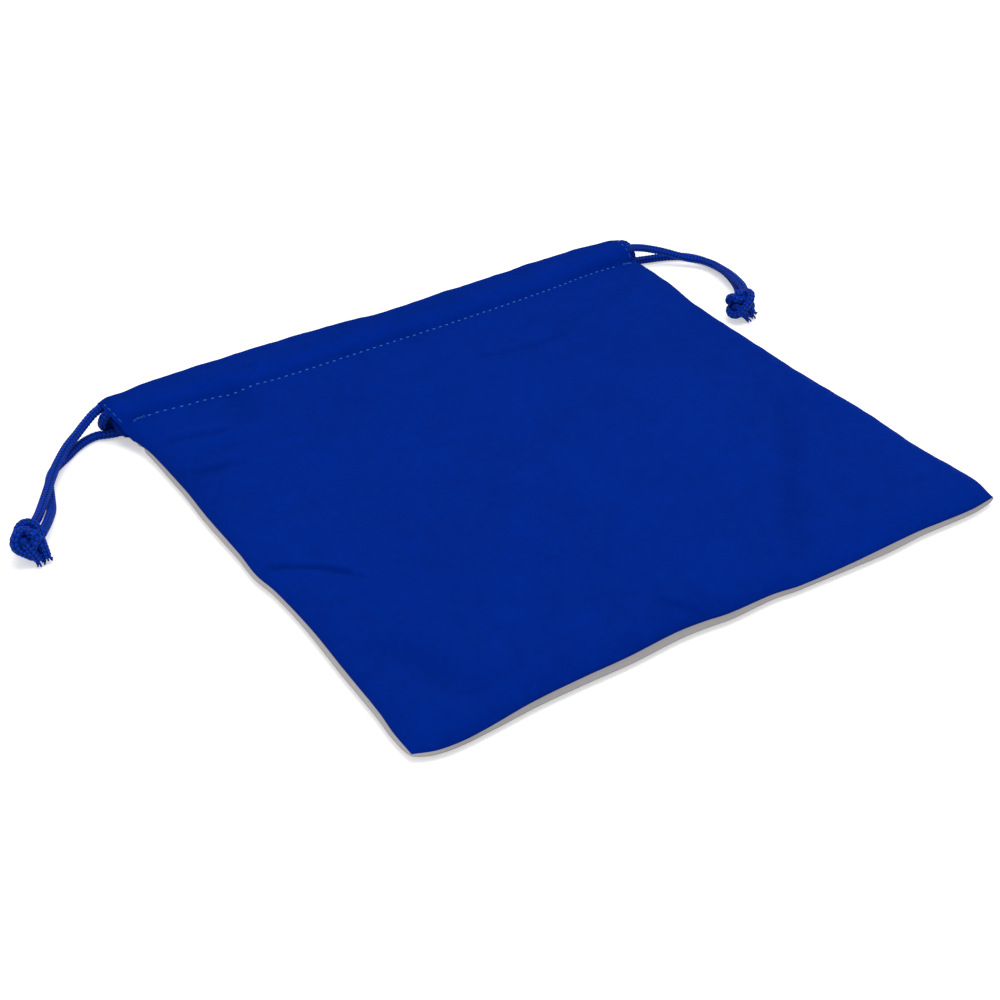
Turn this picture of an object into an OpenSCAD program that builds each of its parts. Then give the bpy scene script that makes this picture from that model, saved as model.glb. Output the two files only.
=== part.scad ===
// Flat drawstring pouch: two cloth panels, a casing band along each side of
// the mouth, and two drawcords that leave the casings at opposite sides.
// Millimetres. +X runs along the mouth, +Y points out of the mouth, +Z is up.
// The origin is under the middle of the pouch, on the surface it lies on.

/* [Pouch] */
// Width between the two side seams
pouch_w = 208; // [190:1:260]
// Height from the bottom seam to the mouth's edge
pouch_h = 192; // [150:1:260]
// Height at which the seams lie above the surface under the pouch
seam_z = 2.5; // [2:0.1:3.2]
// Height of the front panel's top where it lies flat
panel_top_z = 6.4; // [5.5:0.1:8]
// Thickness of one layer of cloth
cloth_t = 0.4; // [0.3:0.05:0.5]

/* [Rims] */
// Width of the front panel's rounded rim
front_rim_w = 10; // [6:1:16]
// Width of the back panel's rounded rim
back_rim_w = 7; // [4:1:12]
// Height of the short upright wall on each side of the seam
seam_wall_h = 0.6; // [0.4:0.1:0.8]

/* [Casings] */
// Depth of a casing, from the mouth's edge to its stitch line
casing_d = 20; // [18:1:26]
// Width of the flat band that the casing's stitches go through
hem_w = 2; // [1.6:0.1:3]
// Width of the slope between the flat band and the full tunnel
ramp_w = 7.5; // [4:0.5:7.5]
// Height of the open mouth between the two casings
mouth_gap = 4.4; // [4.2:0.1:4.8]
// Distance over which the front panel sinks from the mouth to its flat part
fall_w = 56; // [30:1:80]

/* [Drawcords] */
// Diameter of a drawcord
cord_d = 3; // [2:0.1:3]
// Free height between a cord and each wall of its tunnel
cord_clear = 0.2; // [0.15:0.05:0.3]
// Diameter of the knot on each pair of cord ends
knot_d = 12; // [9:0.5:12]
// Length of the short cord ends below a knot
knot_end_l = 3; // [1:0.5:4]

/* [Stitching] */
// Distance from one stitch to the next
stitch_pitch = 2.65; // [2:0.05:3.5]
// Length of one stitch on the cloth's face
stitch_l = 1.9; // [1:0.1:2]
// Width of the thread
thread_w = 0.35; // [0.2:0.05:0.5]
// Height of the thread over the cloth
thread_h = 0.3; // [0.2:0.05:0.4]
// Gap between the thread and the cloth it lies on
thread_gap = 0.02; // [0.01:0.01:0.1]
// Distance from a slit's edge to its row of stitches
slit_margin = 1.6; // [1:0.1:3]
// Number of crossing stitches in a bar tack
tack_count = 7; // [4:1:10]

/* [Hidden] */

BLUE = [0.004, 0.157, 0.541];
CORD_BLUE = [0.09, 0.14, 0.58];
GREY = [0.74, 0.72, 0.69];
THREAD = [0.16, 0.4, 0.56];

half_w = pouch_w / 2;
mouth_y = pouch_h / 2;
bottom_y = -pouch_h / 2;
foot_y = mouth_y - casing_d;           // stitch line, where panels end
hem_y = foot_y + hem_w;                // end of the flat stitched band
full_y = hem_y + ramp_w;               // where the tunnel reaches full height
tunnel_h = cord_d + 2 * cord_clear;
casing_h = tunnel_h + 2 * cloth_t;
hem_h = 2 * cloth_t;
front_z = casing_h + mouth_gap;        // underside of the front casing
foot_top_z = front_z + cloth_t;        // front panel's top at the casing
fold_r = casing_h / 2;                 // rounded fold along the mouth's edge
RIM_STEPS = 8;
FALL_STEPS = 8;

// Routes of the two cords, from knot to knot: along the front casing, round
// the far side of the mouth and back along the back casing.
LEFT_ROUTE = [
    [-149, 46.2, 6], [-143.9, 52.8, 5.5], [-141.7, 56.3, 5.1], [-139.3, 60.2, 4.8],
    [-136.5, 64.6, 4.7], [-133.4, 69.5, 4.7], [-129.6, 75.1, 4.8], [-125.9, 79.5, 5.2],
    [-121.6, 83.9, 5.8], [-117.6, 86.8, 6.5], [-112.8, 90, 7.8], [-108.4, 92, 9.4],
    [-103.6, 92.5, 10.7], [103, 92.5, 10.7], [105, 92.3, 10.3], [106.5, 91.4, 8.7],
    [107, 90.2, 6.4], [106.5, 89.1, 4.1], [105, 88.2, 2.5], [103, 88, 2.1],
    [-103, 88, 2.1], [-106.2, 89.1, 1.9], [-109.3, 90.6, 1.6], [-113.2, 89.9, 1.6],
    [-118, 87.4, 1.6], [-121.7, 84.6, 1.6], [-125.4, 82, 1.6], [-128.4, 79.6, 1.6],
    [-130.8, 76.6, 1.6], [-132.9, 72.6, 1.6], [-134.6, 67.8, 1.6], [-136.2, 63, 1.6],
    [-138.2, 57.7, 2.5], [-141.1, 52.1, 3.8], [-143.6, 48, 4.6], [-146.6, 43.9, 5.1]];
RIGHT_ROUTE = [
    [121.8, 41.4, 6.9], [124.6, 46.7, 6.9], [126.8, 52.5, 6.3], [128.9, 58.8, 5.3],
    [130.3, 65.2, 4.3], [130.8, 71.1, 3.7], [129.5, 75.9, 3.5], [126.4, 79.6, 3.7],
    [122.9, 82.7, 4.6], [119.2, 85.4, 5.9], [115, 87.3, 7.3], [109.7, 88.5, 9],
    [103, 88, 10.7], [-103, 88, 10.7], [-105, 88.2, 10.3], [-106.5, 89.1, 8.7],
    [-107, 90.2, 6.4], [-106.5, 91.4, 4.1], [-105, 92.3, 2.5], [-103, 92.5, 2.1],
    [103, 92.5, 2.1], [107.5, 92.6, 1.9], [111.8, 91.9, 1.7], [116, 90.8, 1.6],
    [120, 89.6, 1.6], [123.8, 88, 1.6], [127.9, 85.4, 1.6], [130.8, 81.8, 1.6],
    [132.6, 77.3, 1.6], [133.4, 72.8, 1.6], [133.5, 68.3, 1.6], [132.6, 63.5, 1.7],
    [130.9, 58.7, 1.9], [128.4, 53.8, 2.6], [124.8, 48.6, 3.4], [119.6, 43.1, 4.4]];
LEFT_KNOT = [-151.3, 41, 6.05];
RIGHT_KNOT = [117.3, 38.2, 6.05];

CORD_SIDES = 8;
// A direction that no stretch of either cord runs along, to turn the rings by
RING_UP = [0, 0.9, -0.45];

function unit(v) = v / norm(v);
function heading(p, i) =
    unit(p[min(i + 1, len(p) - 1)] - p[max(i - 1, 0)]);
function ring_point(c, t, r, a) =
    let (u = unit(cross(t, RING_UP)), w = cross(t, u))
    c + r * (cos(a) * u + sin(a) * w);

// A round cord along the points p, with one ring of corners at each point
module cord(p, d) {
    n = CORD_SIDES;
    last = (len(p) - 1) * n;
    corners = [for (i = [0 : len(p) - 1], k = [0 : n - 1])
        ring_point(p[i], heading(p, i), d / 2, 360 * k / n)];
    sides = [for (i = [0 : len(p) - 2], k = [0 : n - 1])
        let (a = i * n + k, b = i * n + (k + 1) % n)
        [a, b, b + n, a + n]];
    first_end = [for (k = [n - 1 : -1 : 0]) k];
    last_end = [for (k = [0 : n - 1]) last + k];
    polyhedron(corners, concat([first_end], sides, [last_end]));
}

// A round knot with the short cord ends that stick out below it
module knot(centre, ends) {
    translate(centre) {
        sphere(d = knot_d, $fn = 48);
        for (a = ends)
            rotate([0, 90, a])
                cylinder(d = cord_d, h = knot_d / 2 + knot_end_l, $fn = 24);
    }
}

// Extrudes a flat outline, drawn in Y and Z, along X from -half to +half
module along_x(half) {
    translate([-half, 0, 0])
        rotate([90, 0, 90])
            linear_extrude(2 * half)
                children();
}

// Extrudes a flat outline, drawn in X and Z, along Y from y0 to y1
module along_y(y0, y1) {
    translate([0, y1, 0])
        rotate([90, 0, 0])
            linear_extrude(y1 - y0)
                children();
}

// Quarter of a rim, from its flat edge out to its wall: [distance in, height]
function rim(w, h) = [for (i = [0 : RIM_STEPS])
    let (a = 90 * i / RIM_STEPS) [w * (1 - sin(a)), h * cos(a)]];

// Smooth fall of the front panel from the mouth to its flat part
function fall_z(y) = let (s = min(max((foot_y - y) / fall_w, 0), 1))
    foot_top_z - (foot_top_z - panel_top_z) * s * s * (3 - 2 * s);

// Space under the front panel's skin, shrunk by inset on every face
module front_body(inset) {
    base = seam_z - inset;
    wall = seam_z + seam_wall_h;
    w = front_rim_w - inset;
    side = [for (p = rim(w, foot_top_z - inset - wall))
        [half_w - inset - p[0], wall + p[1]]];
    low = [for (p = rim(w, panel_top_z - inset - wall))
        [bottom_y + inset + p[0], wall + p[1]]];
    intersection() {
        along_y(bottom_y, foot_y + inset)
            polygon(concat([[half_w - inset, base]],
                [for (i = [RIM_STEPS : -1 : 0]) side[i]],
                [for (i = [0 : RIM_STEPS]) [-side[i][0], side[i][1]]],
                [[inset - half_w, base]]));
        along_x(half_w)
            polygon(concat([[foot_y + inset, base], [bottom_y + inset, base]],
                [for (i = [RIM_STEPS : -1 : 0]) low[i]],
                [for (i = [FALL_STEPS : -1 : 0])
                    let (y = foot_y - fall_w * i / FALL_STEPS)
                    [y, fall_z(y) - inset]],
                [[foot_y + inset, foot_top_z - inset]]));
    }
}

// Space inside the back panel's skin, shrunk by inset on every face
module back_body(inset) {
    top = seam_z + inset;
    wall = seam_z - seam_wall_h;
    w = back_rim_w - inset;
    h = wall - inset;
    side = [for (p = rim(w, h)) [half_w - inset - p[0], wall - p[1]]];
    low = [for (p = rim(w, h)) [bottom_y + inset + p[0], wall - p[1]]];
    intersection() {
        along_y(bottom_y, foot_y + inset)
            polygon(concat([[half_w - inset, top]],
                [for (i = [RIM_STEPS : -1 : 0]) side[i]],
                [for (i = [0 : RIM_STEPS]) [-side[i][0], side[i][1]]],
                [[inset - half_w, top]]));
        along_x(half_w)
            polygon(concat([[foot_y + inset, top], [bottom_y + inset, top]],
                [for (i = [RIM_STEPS : -1 : 0]) low[i]],
                [[foot_y + inset, inset]]));
    }
}

// Outline of a casing, drawn in Y and Z; inset shrinks it to its tunnel
module casing_outline(inset) {
    start = inset > 0 ? hem_y : foot_y;
    fold = [for (i = [0 : 2 * RIM_STEPS])
        let (a = 90 - 90 * i / RIM_STEPS, r = fold_r - inset)
        [mouth_y - fold_r + r * cos(a), fold_r + r * sin(a)]];
    polygon(concat([[start, inset], [start, hem_h - inset], [hem_y, hem_h - inset],
                    [full_y, casing_h - inset]], fold));
}

// One casing band: a folded tube of cloth, open at both ends for the cords
module casing() {
    difference() {
        along_x(half_w) casing_outline(0);
        along_x(half_w + 1) casing_outline(cloth_t);
    }
}

module front_panel() {
    color(BLUE)
        difference() {
            front_body(0);
            front_body(cloth_t);
        }
}

module back_panel() {
    color(GREY)
        difference() {
            back_body(0);
            back_body(cloth_t);
        }
}

module front_casing() {
    color(BLUE)
        translate([0, 0, front_z])
            casing();
}

module back_casing() {
    color(BLUE)
        casing();
}

module left_drawcord() {
    color(CORD_BLUE)
        cord(LEFT_ROUTE, cord_d);
}

module right_drawcord() {
    color(CORD_BLUE)
        cord(RIGHT_ROUTE, cord_d);
}

module left_knot() {
    color(CORD_BLUE)
        knot(LEFT_KNOT, [-110, -75]);
}

module right_knot() {
    color(CORD_BLUE)
        knot(RIGHT_KNOT, [-110, -75]);
}

// One stitch, lying along X on the plane z = 0, with its gap under it
module stitch(l = stitch_l) {
    translate([-l / 2, -thread_w / 2, thread_gap])
        cube([l, thread_w, thread_h]);
}

// A row of stitches along X, centred, that stays within the given length
module stitch_row(length) {
    count = floor((length - stitch_l) / stitch_pitch);
    for (i = [0 : count])
        translate([(i - count / 2) * stitch_pitch, 0, 0])
            stitch();
}

// The stitches that close a casing, on its flat band
module hem_stitching(z) {
    tacks = 2 * (slit_margin + tack_count * thread_w * 2);
    color(THREAD)
        translate([0, foot_y + hem_w / 2, z + hem_h])
            stitch_row(pouch_w - tacks);
}

// The stitches beside a slit: one row up the slope and one along the tunnel
module slit_stitching(x, z) {
    rise = casing_h - hem_h;
    slope = atan2(rise, ramp_w);
    flat_w = mouth_y - fold_r - full_y;
    color(THREAD)
        translate([x, 0, z]) {
            translate([0, hem_y + ramp_w / 2, hem_h + rise / 2])
                rotate([slope, 0, 0])
                    rotate([0, 0, 90])
                        stitch_row(norm([rise, ramp_w]));
            translate([0, full_y + flat_w / 2, casing_h])
                rotate([0, 0, 90])
                    stitch_row(flat_w);
        }
}

// Close stitches across the end of a casing's stitch line
module bar_tack(side) {
    x0 = half_w - slit_margin - (tack_count - 1) * thread_w * 2;
    color(THREAD)
        for (i = [0 : tack_count - 1])
            translate([side * (x0 + i * thread_w * 2), foot_y + hem_w / 2, front_z + hem_h])
                rotate([0, 0, 90])
                    stitch(hem_w * 0.8);
}

// A row of seam stitches, standing against the inside of both panels' walls
module seam_row(length) {
    translate([0, cloth_t + thread_gap, seam_z])
        rotate([-90, 0, 0])
            translate([0, 0, -thread_gap])
                stitch_row(length);
}

module side_seam(side) {
    length = foot_y - bottom_y - 2 * front_rim_w;
    color(THREAD)
        translate([side * half_w, bottom_y + front_rim_w + length / 2, 0])
            rotate([0, 0, side * 90])
                seam_row(length);
}

module bottom_seam() {
    color(THREAD)
        translate([0, bottom_y, 0])
            seam_row(pouch_w - 2 * front_rim_w);
}

front_panel();
back_panel();
front_casing();
back_casing();
left_drawcord();
right_drawcord();
left_knot();
right_knot();
hem_stitching(front_z);  // front_casing_stitching
hem_stitching(0);  // back_casing_stitching
slit_stitching(slit_margin - half_w, front_z);  // front_left_slit_stitching
slit_stitching(half_w - slit_margin, front_z);  // front_right_slit_stitching
slit_stitching(slit_margin - half_w, 0);  // back_left_slit_stitching
slit_stitching(half_w - slit_margin, 0);  // back_right_slit_stitching
bar_tack(-1);  // left_bar_tack
bar_tack(1);  // right_bar_tack
side_seam(-1);  // left_side_seam
side_seam(1);  // right_side_seam
bottom_seam();
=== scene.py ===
import math
import bpy
import numpy as np
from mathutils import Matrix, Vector


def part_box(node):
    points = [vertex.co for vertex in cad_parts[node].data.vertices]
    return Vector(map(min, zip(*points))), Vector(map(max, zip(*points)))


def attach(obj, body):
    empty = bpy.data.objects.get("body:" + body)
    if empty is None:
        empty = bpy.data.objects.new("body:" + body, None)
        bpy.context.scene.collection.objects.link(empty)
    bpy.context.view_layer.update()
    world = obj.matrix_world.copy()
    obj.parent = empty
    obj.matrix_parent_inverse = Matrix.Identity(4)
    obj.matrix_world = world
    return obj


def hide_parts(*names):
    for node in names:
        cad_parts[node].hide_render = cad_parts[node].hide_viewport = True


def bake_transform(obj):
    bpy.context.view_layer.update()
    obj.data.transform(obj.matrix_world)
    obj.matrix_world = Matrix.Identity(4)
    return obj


bl_info = {
    "name": "Drawstring pouch",
    "version": (1, 0, 0),
    "blender": (4, 5, 0),
    "location": "3D View > Sidebar > Pouch",
    "description": "Makes a flat drawstring pouch in blue and grey cloth with two knitted cords",
    "category": "Add Mesh",
}

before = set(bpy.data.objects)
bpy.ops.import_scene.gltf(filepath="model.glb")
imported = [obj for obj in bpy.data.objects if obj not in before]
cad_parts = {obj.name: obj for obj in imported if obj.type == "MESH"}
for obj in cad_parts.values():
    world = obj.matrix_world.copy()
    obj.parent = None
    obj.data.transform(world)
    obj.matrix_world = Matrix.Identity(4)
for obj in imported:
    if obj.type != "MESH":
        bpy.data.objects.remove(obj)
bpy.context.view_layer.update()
MM = 0.001

# ---------------------------------------------------------------- the frame's sizes

PANEL_LOW, PANEL_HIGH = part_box("front_panel")
CASING_LOW, CASING_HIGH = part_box("front_casing")
BACK_LOW, BACK_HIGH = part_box("back_casing")
HALF_W = PANEL_HIGH.x
# The same in millimetres, in which the cloth is shaped: half the width between the side seams,
# the bottom seam, the foot of the slits and the middle of the cords in both casings
HALF = HALF_W / MM
BOTTOM_Y = PANEL_LOW.y / MM
FOOT_Y = CASING_LOW.y / MM
FRONT_CORD_Z = (CASING_LOW.z + CASING_HIGH.z) / 2 / MM
BACK_CORD_Z = (BACK_LOW.z + BACK_HIGH.z) / 2 / MM

# ---------------------------------------------------------------- listed shapes

# Routes of the two cords from knot to knot, in metres: along the front casing,
# round the far side of the mouth and back along the back casing.
LEFT_ROUTE = [
    (-0.149, 0.0462, 0.006), (-0.1439, 0.0528, 0.0055), (-0.1417, 0.0563, 0.0051),
    (-0.1393, 0.0602, 0.0048), (-0.1365, 0.0646, 0.0047), (-0.1334, 0.0695, 0.0047),
    (-0.1296, 0.0751, 0.0048), (-0.1259, 0.0795, 0.0052), (-0.1216, 0.0839, 0.0058),
    (-0.1176, 0.0868, 0.0065), (-0.1128, 0.09, 0.0078), (-0.1084, 0.092, 0.0094),
    (-0.1036, 0.0925, 0.0107), (0.103, 0.0925, 0.0107), (0.105, 0.0923, 0.0103),
    (0.1065, 0.0914, 0.0087), (0.107, 0.0902, 0.0064), (0.1065, 0.0891, 0.0041),
    (0.105, 0.0882, 0.0025), (0.103, 0.088, 0.0021), (-0.103, 0.088, 0.0021),
    (-0.1062, 0.0891, 0.0019), (-0.1093, 0.0906, 0.0016), (-0.1132, 0.0899, 0.0016),
    (-0.118, 0.0874, 0.0016), (-0.1217, 0.0846, 0.0016), (-0.1254, 0.082, 0.0016),
    (-0.1284, 0.0796, 0.0016), (-0.1308, 0.0766, 0.0016), (-0.1329, 0.0726, 0.0016),
    (-0.1346, 0.0678, 0.0016), (-0.1362, 0.063, 0.0016), (-0.1382, 0.0577, 0.0025),
    (-0.1411, 0.0521, 0.0038), (-0.1436, 0.048, 0.0046), (-0.1466, 0.0439, 0.0051),
]
RIGHT_ROUTE = [
    (0.1218, 0.0414, 0.0069), (0.1246, 0.0467, 0.0069), (0.1268, 0.0525, 0.0063),
    (0.1289, 0.0588, 0.0053), (0.1303, 0.0652, 0.0043), (0.1308, 0.0711, 0.0037),
    (0.1295, 0.0759, 0.0035), (0.1264, 0.0796, 0.0037), (0.1229, 0.0827, 0.0046),
    (0.1192, 0.0854, 0.0059), (0.115, 0.0873, 0.0073), (0.1097, 0.0885, 0.009),
    (0.103, 0.088, 0.0107), (-0.103, 0.088, 0.0107), (-0.105, 0.0882, 0.0103),
    (-0.1065, 0.0891, 0.0087), (-0.107, 0.0902, 0.0064), (-0.1065, 0.0914, 0.0041),
    (-0.105, 0.0923, 0.0025), (-0.103, 0.0925, 0.0021), (0.103, 0.0925, 0.0021),
    (0.1075, 0.0926, 0.0019), (0.1118, 0.0919, 0.0017), (0.116, 0.0908, 0.0016),
    (0.12, 0.0896, 0.0016), (0.1238, 0.088, 0.0016), (0.1279, 0.0854, 0.0016),
    (0.1308, 0.0818, 0.0016), (0.1326, 0.0773, 0.0016), (0.1334, 0.0728, 0.0016),
    (0.1335, 0.0683, 0.0016), (0.1326, 0.0635, 0.0017), (0.1309, 0.0587, 0.0019),
    (0.1284, 0.0538, 0.0026), (0.1248, 0.0486, 0.0034), (0.1196, 0.0431, 0.0044),
]
# A knot's middle and its turn about its cord in degrees, and where its cut ends lie
CORDS = {
    "left": {"route": LEFT_ROUTE, "knot": (-0.1513, 0.041, 0.00605), "roll": 128,
             "tips": [(-0.1508, 0.0361, 0.0018), (-0.1483, 0.0362, 0.0016)]},
    "right": {"route": RIGHT_ROUTE, "knot": (0.1173, 0.0382, 0.00605), "roll": 225,
              "tips": [(0.1172, 0.0341, 0.0018), (0.1207, 0.0353, 0.0016)]},
}

# Listed outlines of the cloth, in millimetres: a place along the edge, then how far the
# edge lies inside the frame's edge.
LEFT_INSET = [(-96, -0.3), (-87, 0), (-78, 1), (-58, 2), (-38, 3.1), (-17, 3), (-7, 2), (5, 2.7),
              (28, 3.2), (45, 4.1), (66, 3.8), (75, 2.2), (79, 0.8), (82, 0.3), (84, -1),
              (87, -2), (90, -2.4), (96, -2.2)]
RIGHT_INSET = [(-96, -0.3), (-88, -1.5), (-78, -1.2), (-66, -0.4), (-52, -0.8), (-40, -1.3),
               (-26, -0.8), (-8, -0.2), (10, -0.5), (50, -0.9), (62, -2), (73, -1.4), (78, -0.4),
               (80.4, 0), (82, 1), (85, 1.5), (88, 1.8), (96, 1.4)]
BOTTOM_INSET = [(-104, -0.4), (-98, -2.7), (-91, -3.4), (-83, -2.9), (-67, -0.9), (-51, -0.2),
                (-35, 0), (-18, 1.1), (-9, 0.7), (0, -0.4), (16, -0.6), (25, -1.8), (44, -2),
                (63, -1.4), (73, -1.2), (93, -1.9), (104, -0.8)]
# The back casing's lower edge beside each slit, which lies further in than the front's
BACK_LEFT_INSET = [(75, 4.4), (78, 3.4), (81, 2.9), (86.5, 2.9), (88.7, 2.6), (91.5, 0.6),
                   (95, 0.2)]
BACK_RIGHT_INSET = [(75, -1), (78, 0.4), (82, 1.4), (88, 2), (96, 1.6)]
# How far the grey back stands out beyond the seam, along the left side, the bottom and the
# right side
LEFT_ROLL = [(-96, 1.4), (-80, 2.2), (-50, 2.4), (-20, 1.8), (20, 2.4), (50, 2.2), (64, 1.6),
             (72, 0.8), (77, 0.2)]
BOTTOM_ROLL = [(-104, 1.2), (-85, 1.4), (-71, 2.6), (-43, 3.6), (-14, 3.8), (14, 2.2), (29, 1.4),
               (44, 2.2), (59, 3.4), (74, 2.6), (104, 1.6)]
RIGHT_ROLL = [(-96, 1), (-80, 0.6), (50, 0.4), (60, -0.6), (72, -1.4), (79, -1.6)]
# Height of the seam along both sides, and of the front's free edge above the foot of each slit
LEFT_SEAM = [(-96, 3), (48, 3), (58, 3.2), (66, 3.7), (72, 4.4), (77, 5.2), (81, 4)]
RIGHT_SEAM = [(-96, 3), (48, 3), (60, 3.6), (70, 5), (76, 6.4), (81, 7.6)]
LEFT_FREE_EDGE = [(-96, 0), (75, 0), (77, 0.2), (79, 2.1), (82, 4.2)]
# Along X: where the mouth's fold has its middle, where the casing's stitches run and how
# high they lie.
FOLD_LINE = [(-105, 92.6), (-95, 93.4), (-85, 94.6), (-52, 95.2), (-19, 94.6), (3, 92.7),
             (28, 93.6), (53, 94), (66, 94.7), (90, 94.4), (100, 93.2), (105, 91.6)]
STITCH_LINE = [(-104, 81.8), (-98, 82.3), (-94, 82.2), (-89, 81.9), (-82, 80.8), (-76, 80.4),
               (-69, 80), (-60, 79.2), (-48, 79.1), (-15, 79.5), (10, 79.2), (30, 79.5),
               (45, 79.9), (65, 80.7), (85, 82.4), (104, 83)]
BACK_STITCH_LINE = [(-104, 76.4), (-90, 77.2), (0, 77), (70, 77.6), (104, 77.4)]
STITCH_HEIGHT = [(-104, 8.1), (-97, 8.8), (-88, 9), (0, 9), (70, 9), (88, 8.6), (104, 7.7)]
# How much higher the ends of the back casing lie than its middle, along Y
SLIT_LIFT = [(75, 5.4), (76, 5.2), (80, 3.8), (84, 1.8), (86.5, 0.3), (88, 0), (98, 0)]
# From the bottom seam to the casing's stitches, the front's flat height and the seam's
PANEL_LENGTH = 173.0
PANEL_TOP = 6.4
SEAM_LOW = 3.0
# The length over which the front climbs to the stitches, and the widths over which the front
# and the back round off to their seams
CLIMB_LENGTH = 57
FRONT_ROUND = {"left": 9, "right": 7, "bottom": 9}
BACK_ROUND = 5
# A casing's rows of points: on the arch over the cords, on its flat top, round the fold and on
# the inner wall. The slit's stitches follow the first two, and the outside ends in mid fold.
ARCH_ROWS, TOP_ROWS, FOLD_ROWS, WALL_ROWS = 14, 6, 14, 16
SLIT_ROWS = ARCH_ROWS + TOP_ROWS
OUTSIDE_ROWS = SLIT_ROWS + FOLD_ROWS // 2
# Where the arch ends, the radius of the fold, and how far the hem ends below the stitches and
# under them
ARCH_TOP_Y = 90.2
FOLD_RADIUS = 2
HEM_DROP = 1.2
HEM_DEPTH = 0.85
# Height of the back casing's hem, and where its lower face ends in Y and Z
BACK_HEM_Z = 1.15
BACK_EDGE_Y = 75.5
BACK_EDGE_Z = 0.05
# How far the casing's two ends hang down, how far its inner wall sags there, and how deep the
# stitches pull into the cloth
DROOP = {"left": 1.5, "right": 0.3}
SAG = 1.8
STITCH_PULL = 0.4
# From each side seam to the casing's and the slit's stitches
CASING_MARGIN = 8
SLIT_MARGIN = 1.1
# The slit's stitches against the casing's, and how wide the thread shows in slits and tacks
SLIT_LENGTH_SHARE = 1.1
SLIT_WIDTH_SHARE = 0.38
TACK_WIDTH_SHARE = 0.5
# From each side seam to the bar tack, and the tack's stitches, whose length is in metres
TACK_START = {"left": 4.6, "right": 1.6}
TACK_COUNT = 7
TACK_PITCH = 0.6
TACK_LIFT = 0.08
TACK_LENGTH = 0.001
# From a seam to its stitches, and from a corner of the pouch to a seam's first stitch
SEAM_MARGIN = 0.6
CORNER_MARGIN = 10
THREAD_SIDES = 6
# Distances from a seam at which the cloth has points: close together where it curves most
EDGE_STEPS = np.array([0, 0.03, 0.09, 0.18, 0.3, 0.45, 0.65, 1, 1.5, 2.1, 2.8, 3.6, 4.4, 5.2])
COLUMN_STEP = 0.6625
# Each cloth's finish, its slot, the CAD pieces that it stands for and its length when laid
# flat, in metres
CLOTHS = {
    "front_cloth": ("BlueCloth", "blue_cloth", ("front_panel", "front_casing"), 0.212),
    "back_cloth": ("GreyCloth", "grey_cloth", ("back_panel",), 0.176),
    "back_casing_band": ("BlueCloth", "blue_cloth", ("back_casing",), 0.042),
}
# Points round one knitted rib and along one knitted loop
RIB_STEPS = 6
LOOP_STEPS = 5
# Knots: thickness of the strands in millimetres, rounds of pulling as they are tied and half
# the tied knot's length, then in metres how far from its middle a strand begins, ends and
# leaves at the side, and the thickness of the tied cord against the free one
STRAND_THICKNESS = 2.7
PULL_ROUNDS = 900
KNOT_HALF = 5
KNOT_BEGIN = 0.0047
KNOT_END = 0.0052
KNOT_SIDE = 0.0055
TIED_SHARE = 0.48
YARN_RADIUS = 0.00032
YARN_COUNT = 7
FLOOR_SIZE = 8
LAMP_SIZE = 0.7
LAMP_PLACE = (0.02, -0.1, 0.98)
# Creases of the front cloth: points along the crease, its width and depth, and by how much
# painted shade darkens the cloth in it. Each one is a hollow with a low ridge on its left-hand
# side.
CREASES = [
    (((-102, 66.5), (-93, 63.5), (-84, 61), (-76, 59)), 1.3, 0.6, 0.17),
    (((-100, 50), (-88, 53), (-75, 54)), 4, 0.6, 0.05),
    (((-102, 48), (-95, 45), (-88, 44), (-80, 42)), 1.8, 0.6, 0.17),
    (((-65, 86), (-69, 72), (-76, 55)), 5, 0.8, 0.1),
    (((-104, -7), (-96, -13), (-88, -20), (-79, -33)), 1.1, 0.6, 0.3),
    (((-97, -50), (-90, -67), (-79, -89), (-72, -99)), 6, 1.3, 0.07),
    (((27, -100), (35, -84), (55, -59.5), (76, -33), (88, -5)), 4.2, 1, 0.11),
    (((-18, -82), (-5, -99)), 1.6, 0.5, 0.12),
    (((10, 56), (28, 52), (43, 52), (60, 55)), 1.3, 0.25, 0.12),
    (((40, 57), (62, 60), (84, 66), (98, 72)), 3, 0.3, 0.08),
    (((-44, 60), (-30, 46)), 5, 0.4, 0.05),
    (((84, -20), (95, -38)), 5, 0.4, 0.05),
]


# ---------------------------------------------------------------- settings

LENGTH = {"unit": "LENGTH", "precision": 5}
COLOUR = {"size": 3, "min": 0, "max": 1, "subtype": "COLOR"}


class PouchClothSettings(bpy.types.PropertyGroup):
    """Sizes and colours of the two cloths"""

    thickness: bpy.props.FloatProperty(
        name="Thickness", description="Thickness of one layer of cloth",
        default=0.00035, min=0.0002, max=0.0006, **LENGTH)
    hem: bpy.props.FloatProperty(
        name="Hem width", description="Width of the doubled cloth beside each slit",
        default=0.005, min=0.002, max=0.008, **LENGTH)
    weave: bpy.props.FloatProperty(
        name="Weave pitch", description="Distance from one yarn to the next",
        default=0.00032, min=0.0001, max=0.001, **LENGTH)
    blue: bpy.props.FloatVectorProperty(
        name="Front colour", description="Colour of the blue cloth",
        default=(0.0001, 0.0186, 0.25), **COLOUR)
    grey: bpy.props.FloatVectorProperty(
        name="Back colour", description="Colour of the grey cloth",
        default=(0.45, 0.43, 0.445), **COLOUR)


class PouchCordSettings(bpy.types.PropertyGroup):
    """Sizes and colour of the knitted cords"""

    diameter: bpy.props.FloatProperty(
        name="Diameter", description="Diameter of a drawcord",
        default=0.003, min=0.002, max=0.004, **LENGTH)
    wales: bpy.props.IntProperty(
        name="Wales", description="Number of knitted ribs round a cord", default=6, min=4, max=8)
    pitch: bpy.props.FloatProperty(
        name="Loop pitch", description="Length of one knitted loop along the cord",
        default=0.0013, min=0.0008, max=0.003, **LENGTH)
    colour: bpy.props.FloatVectorProperty(
        name="Colour", description="Colour of the cords",
        default=(0.0005, 0.029, 0.34), **COLOUR)


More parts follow.
